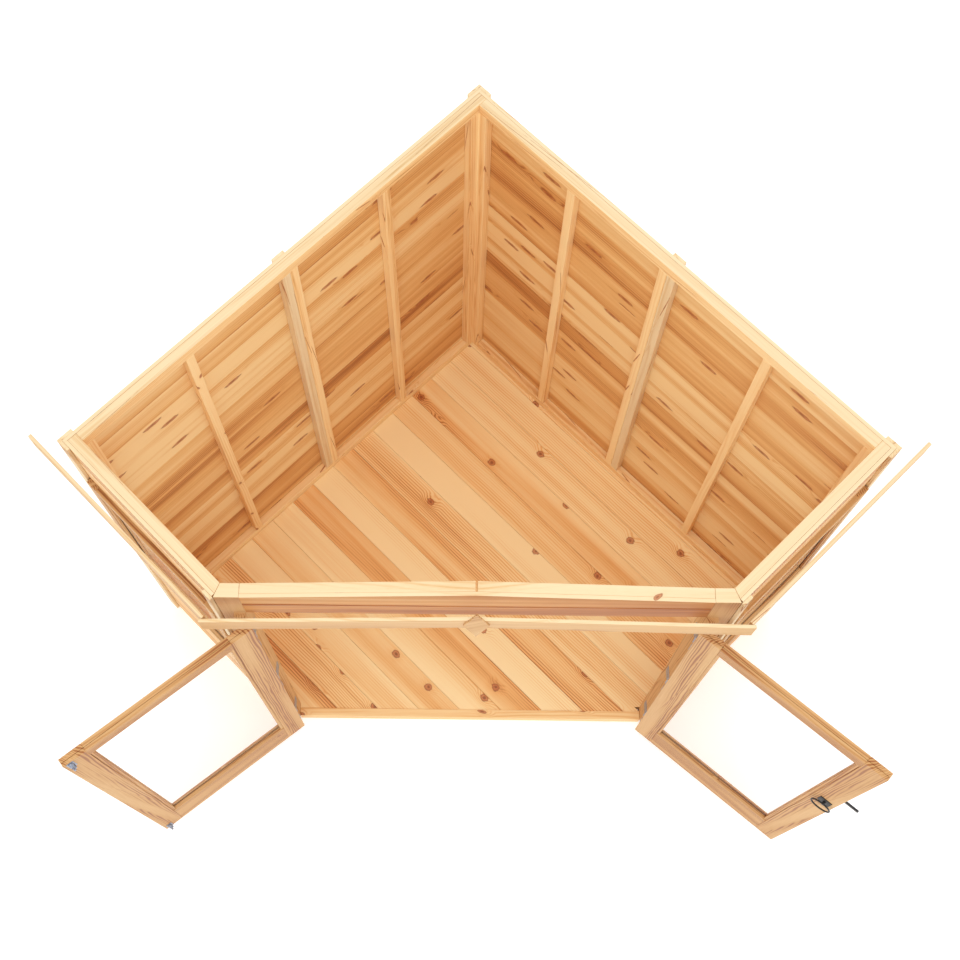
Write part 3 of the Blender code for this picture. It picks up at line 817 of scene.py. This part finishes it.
class SUMMERHOUSE_OT_windows(bpy.types.Operator):
    """Build the side windows: jointed frames, glazing beads and panes"""

    bl_idname = "summerhouse.windows"
    bl_label = "Side windows"

    def execute(self, context):
        bead = context.scene.summerhouse_fittings.bead
        arris = context.scene.summerhouse_timber.arris
        here = np.zeros(3)
        for side in SIGNS:
            along, outward, grain = wall_axes(side, "side")
            cad = f"side_{side}_window_frame"
            (s0, s1), depth, (z0, z1) = extent(cad, along, outward, UP)
            glass = f"side_{side}_window_glass"
            (g0, g1), (n0, n1), (p0, p1) = extent(glass, along, outward, UP)
            parts = [timber(here, (UP, along, outward), (z0, z1), width, depth, arris)
                     for width in ((s0, g0 - GAP), (g1 + GAP, s1))]
            parts += [timber(here, (along, UP, outward), (g0 - GAP, g1 + GAP), width, depth, arris)
                      for width in ((z0, p0 - GAP), (p1 + GAP, z1))]
            picks = [0, 0, 1, 1]
            for face in ((n1 + GAP, n1 + WINDOW_BEAD), (n0 - WINDOW_BEAD, n0 - GAP)):
                parts += beading(here, (along, outward, UP), (g0, g1), (p0, p1), face, bead)
                picks += [0, 0, 1, 1]
            materials = [wood("joinery", "upright"), wood("joinery", grain)]
            piece(f"{cad}_jointed", parts, materials, "root", (cad,), picks=picks)
            FRAME["nodes"][glass].material_slots[0].material = glazing()
        return {"FINISHED"}


class SUMMERHOUSE_OT_doors(bpy.types.Operator):
    """Build the glazed doors: laminated stiles and rails, beads and panes"""

    bl_idname = "summerhouse.doors"
    bl_label = "Doors"

    def execute(self, context):
        bead = context.scene.summerhouse_fittings.bead
        for side in SIGNS:
            leaf = Leaf(side)
            (u0, u1), (n0, n1), (z0, z1) = leaf.u, leaf.n, leaf.z
            g0, g1 = leaf.pane_u[0] - GAP, leaf.pane_u[1] + GAP
            p0, p1 = leaf.pane_z[0] - GAP, leaf.pane_z[1] + GAP
            split = n0 + (n1 - n0) * OUTER_LAYER
            run, inner = leaf.run, leaf.inner
            parts, picks = [], []
            for depth in ((n0, split - LAYER_JOINT), (split + LAYER_JOINT, n1)):
                for width in ((u0, g0), (g1, u1)):
                    parts.append(timber(leaf.pin, (UP, run, inner), (z0, z1), width, depth,
                                        JOINERY_EASE))
                    picks.append(0)
                for width in ((z0, p0), (p1, z1)):
                    parts.append(timber(leaf.pin, (run, UP, inner), (g0, g1), width, depth,
                                        JOINERY_EASE))
                    picks.append(1)
            w0, w1 = leaf.pane_n
            for face in ((w1 + GAP, w1 + DOOR_BEAD), (w0 - DOOR_BEAD, w0 - GAP)):
                parts += beading(leaf.pin, (run, inner, UP), (g0, g1), (p0, p1), face, bead)
                picks += [0, 0, 1, 1]
            materials = [wood("joinery", f"{side}_leaf_stile"), wood("joinery", f"{side}_leaf_rail")]
            piece(f"{side}_door_joinery", parts, materials, leaf.body,
                  (f"{side}_door_frame",), picks=picks)
            FRAME["nodes"][f"{side}_door_glass"].material_slots[0].material = glazing()
        return {"FINISHED"}


class SUMMERHOUSE_OT_hinges(bpy.types.Operator):
    """Fit the hinges: plated leaves, the doors' plates and their screws"""

    bl_idname = "summerhouse.hinges"
    bl_label = "Hinges"

    def execute(self, context):
        use = context.scene.summerhouse_fittings
        for side, sign in SIGNS.items():
            leaf = Leaf(side)
            plates, heads, fixed = [], [], []
            for place in ("bottom", "middle", "top"):
                cad = f"{side}_hinge_{place}"
                FRAME["nodes"][cad].material_slots[0].material = steel()
                (z0, z1), = extent(cad, UP)
                face = leaf.u[0] - HINGE_PLATE
                plates.append(timber(leaf.pin, (UP, leaf.run, leaf.inner), (z0, z1),
                                     (face, leaf.u[0] - SEAT), HINGE_SPAN, PLATE_EASE))
                inside = plate_face(cad, sign)
                for height in (z0 + HINGE_SCREW_END, z1 - HINGE_SCREW_END):
                    for depth in LEAF_SCREWS:
                        centre = leaf.pin + leaf.run * face + leaf.inner * depth + UP * height
                        heads.append(screw_head(centre, -leaf.run, use.screw, use.segments))
                    for depth in POST_SCREWS:
                        centre = np.array((inside, leaf.pin[1] + depth, height))
                        fixed.append(screw_head(centre, -sign * RIGHT, use.screw, use.segments))
            piece(f"{side}_door_hinge_plates", plates + heads, [steel()], leaf.body)
            piece(f"{side}_post_hinge_screws", fixed, [steel()], "root", smooth=True)
        return {"FINISHED"}


class SUMMERHOUSE_OT_latch(bpy.types.Operator):
    """Make the ring latch and its back plates"""

    bl_idname = "summerhouse.latch"
    bl_label = "Ring latch"

    def execute(self, context):
        use = context.scene.summerhouse_fittings
        leaf = Leaf("right")
        if extent("latch", leaf.inner, origin=leaf.pin)[0][0] > leaf.n[0]:
            raise RuntimeError("the latch doesn't reach through the door")
        black = black_iron()
        FRAME["nodes"]["latch"].material_slots[0].material = black
        spindle = np.array(joint("latch_turn")["pos_m"])
        u = float((spindle - leaf.pin) @ leaf.run)
        z = float(spindle[2])
        half, tall = use.plate_width / 2, use.plate_height / 2
        # each plate is four strips round the spindle's hole
        strips = (((u - half, u - LATCH_BORE), (z - tall, z + tall)),
                  ((u + LATCH_BORE, u + half), (z - tall, z + tall)),
                  ((u - LATCH_BORE, u + LATCH_BORE), (z + LATCH_BORE, z + tall)),
                  ((u - LATCH_BORE, u + LATCH_BORE), (z - tall, z - LATCH_BORE)))
        aside, lift = LATCH_SCREWS
        small = use.screw * LATCH_SCREW
        parts = []
        for face, way in ((leaf.n[1], 1.0), (leaf.n[0], -1.0)):
            depth = sorted((face + way * SEAT, face + way * LATCH_PLATE))
            for width, height in strips:
                parts.append(timber(leaf.pin, (UP, leaf.run, leaf.inner), height, width, depth,
                                    PLATE_EASE))
            for along in (-aside, aside):
                for up in (-lift, lift):
                    centre = (leaf.pin + leaf.run * (u + along * use.plate_width)
                              + leaf.inner * (face + way * LATCH_PLATE)
                              + UP * (z + up * use.plate_height))
                    parts.append(screw_head(centre, leaf.inner * way, small, SMALL_STEPS))
        piece("latch_plates", parts, [black], leaf.body)
        return {"FINISHED"}


class SUMMERHOUSE_OT_bolts(bpy.types.Operator):
    """Fit the two bolts on the room face of the left door"""

    bl_idname = "summerhouse.bolts"
    bl_label = "Bolts"

    def execute(self, context):
        use = context.scene.summerhouse_fittings
        leaf = Leaf("left")
        middle = leaf.u[1] - BOLT_INSET
        face = leaf.n[1]
        axes = (UP, leaf.run, leaf.inner)
        half = use.bolt_width / 2
        tall, wide = GUIDE_SIZE
        parts = []
        for end, way in ((leaf.z[0], 1.0), (leaf.z[1], -1.0)):
            low, high = sorted((end + way * BOLT_END, end + way * (BOLT_END + use.bolt_length)))
            length = high - low
            parts.append(timber(leaf.pin, axes, (low, high), (middle - half, middle + half),
                                (face + SEAT, face + BOLT_PLATE), PLATE_EASE))
            start = leaf.pin + leaf.run * middle + leaf.inner * (face + ROD_HEIGHT) + UP * low
            thin = ROD_RADIUS - ROD_EASE
            rod = [(POINT, ROD_END), (thin, ROD_END), (ROD_RADIUS, 2 * ROD_END),
                   (ROD_RADIUS, length - 2 * ROD_END), (thin, length - ROD_END),
                   (POINT, length - ROD_END)]
            parts.append(turned(start, UP, rod, SMALL_STEPS))
            for place in GUIDES:
                centre = low + length * place
                parts.append(timber(leaf.pin, axes, (centre - tall, centre + tall),
                                    (middle - wide, middle + wide),
                                    (face + GUIDE_DEPTH[0], face + GUIDE_DEPTH[1]), GUIDE_EASE))
            knob = (leaf.pin + leaf.run * middle + leaf.inner * (face + KNOB_HEIGHT)
                    + UP * (low + length / 2))
            parts.append(turned(knob, leaf.inner, KNOB_PROFILE, SMALL_STEPS))
        piece("left_door_bolts", parts, [steel()], leaf.body)
        return {"FINISHED"}


class SUMMERHOUSE_OT_fascias(bpy.types.Operator):
    """Plane the fascia boards and the diamond finial"""

    bl_idname = "summerhouse.fascias"
    bl_label = "Fascias"

    def execute(self, context):
        for side in SIGNS:
            grain = wall_axes(side, "side")[2]
            # painted highlight on the fascias' up-facing top edges, in the paler rim pine
            paint_top_highlight(planed(f"fascia_side_{side}", wood("fascia", grain)), grain)
            paint_top_highlight(planed(f"fascia_front_{side}", wood("fascia", "right")), "right")
        over, rise = FINIAL_GRAIN
        GRAINS["slant"] = (RIGHT * over + UP * rise, UP * over - RIGHT * rise, BACK)
        planed("finial", wood("joinery", "slant"), FINIAL_EASE)
        return {"FINISHED"}


class SUMMERHOUSE_OT_stage(bpy.types.Operator):
    """Set the floor, the light and the camera"""

    bl_idname = "summerhouse.stage"
    bl_label = "Stage"

    def execute(self, context):
        use = context.scene.summerhouse_stage
        self.ground(use)
        world = bpy.data.worlds.new("even light")
        world.use_nodes = True
        back = world.node_tree.nodes["Background"]
        back.inputs["Color"].default_value = (1.0, 1.0, 1.0, 1.0)
        back.inputs["Strength"].default_value = use.sky
        context.scene.world = world
        self.lamp("overhead", use.key)
        self.camera(context.scene)
        context.scene.view_settings.view_transform = "Standard"
        return {"FINISHED"}

    def ground(self, use):
        """A large level sheet just under the feet of the walls."""
        side = np.linspace(-FLOOR_REACH, FLOOR_REACH, FLOOR_STEPS)
        x, y = np.meshgrid(side, side, indexing="ij")
        z = np.full_like(x, -FLOOR_DROP)
        index = np.arange(x.size).reshape(x.shape)
        quads = np.stack((index[:-1, :-1], index[1:, :-1], index[1:, 1:], index[:-1, 1:]), -1)
        mesh = bpy.data.meshes.new("studio_floor")
        mesh.from_pydata(np.stack((x, y, z), -1).reshape(-1, 3).tolist(), [],
                         quads.reshape(-1, 4).tolist())
        material, _, _ = new_material("studio_floor", Base_Color=(*use.ground, 1.0), Roughness=0.9,
                                      Emission_Color=(1.0, 1.0, 1.0, 1.0),
                                      Emission_Strength=use.glow)
        mesh.materials.append(material)
        floor = bpy.data.objects.new("studio_floor", mesh)
        bpy.context.scene.collection.objects.link(floor)

    def lamp(self, name, power):
        """A square area light above the front, turned to the floor just inside the doors."""
        data = bpy.data.lights.new(name, "AREA")
        data.size = LAMP_WIDTH
        data.energy = power
        light = bpy.data.objects.new(name, data)
        light.location = LAMP_PLACE
        way = Vector(LAMP_TARGET) - Vector(LAMP_PLACE)
        light.rotation_euler = way.to_track_quat("-Z", "Y").to_euler()
        bpy.context.scene.collection.objects.link(light)

    def camera(self, scene):
        """Look down into the room from above the doors: yaw, then pitch, then roll."""
        pitch, yaw, roll = (math.radians(angle) for angle in VIEW_ANGLES)
        turn = np.array(((1, 0, 0), (0, math.sin(pitch), math.cos(pitch)),
                         (0, math.cos(pitch), -math.sin(pitch))))
        around = np.array(((math.cos(yaw), math.sin(yaw), 0), (-math.sin(yaw), math.cos(yaw), 0),
                           (0, 0, 1)))
        lean = np.array(((math.cos(roll), math.sin(roll), 0), (-math.sin(roll), math.cos(roll), 0),
                         (0, 0, 1)))
        across, up, ahead = lean @ turn @ around
        data = bpy.data.cameras.new("view")
        data.sensor_width = VIEW_SENSOR
        data.lens = VIEW_LENS
        data.shift_x, data.shift_y = VIEW_SHIFT
        camera = bpy.data.objects.new("view", data)
        rows = np.stack((across, up, -ahead), 1).tolist()
        camera.matrix_world = Matrix([[*row, place] for row, place in zip(rows, VIEW_PLACE)]
                                     + [[0, 0, 0, 1]])
        scene.collection.objects.link(camera)
        scene.camera = camera


# ---------------------------------------------------------------- panel and registration

STEPS = (SUMMERHOUSE_OT_deck, SUMMERHOUSE_OT_cladding, SUMMERHOUSE_OT_framing,
         SUMMERHOUSE_OT_trims, SUMMERHOUSE_OT_windows, SUMMERHOUSE_OT_doors,
         SUMMERHOUSE_OT_hinges, SUMMERHOUSE_OT_latch, SUMMERHOUSE_OT_bolts,
         SUMMERHOUSE_OT_fascias, SUMMERHOUSE_OT_stage)
GROUPS = {"summerhouse_timber": SummerhouseTimber, "summerhouse_fittings": SummerhouseFittings,
          "summerhouse_stage": SummerhouseStage}


class SUMMERHOUSE_PT_panel(bpy.types.Panel):
    """The steps of the build and their sizes and colours"""

    bl_label = "Summerhouse"
    bl_idname = "SUMMERHOUSE_PT_panel"
    bl_space_type = "VIEW_3D"
    bl_region_type = "UI"
    bl_category = "Summerhouse"

    def draw(self, context):
        for step in STEPS:
            self.layout.operator(step.bl_idname)
        for name, group in GROUPS.items():
            box = self.layout.box()
            for field in group.__annotations__:
                box.prop(getattr(context.scene, name), field)


def register():
    """Add the groups to the scene, and the operators and the panel."""
    for group in GROUPS.values():
        bpy.utils.register_class(group)
    for name, group in GROUPS.items():
        setattr(bpy.types.Scene, name, PointerProperty(type=group))
    for step in (*STEPS, SUMMERHOUSE_PT_panel):
        bpy.utils.register_class(step)


def unregister():
    """Take them away again."""
    for step in (*STEPS, SUMMERHOUSE_PT_panel):
        bpy.utils.unregister_class(step)
    for name, group in GROUPS.items():
        delattr(bpy.types.Scene, name)
        bpy.utils.unregister_class(group)


def main():
    """Build every group of pieces in order."""
    register()
    leaf_grains()
    for step in STEPS:
        area, name = step.bl_idname.split(".")
        getattr(getattr(bpy.ops, area), name)()


if __name__ == "__main__":
    main()
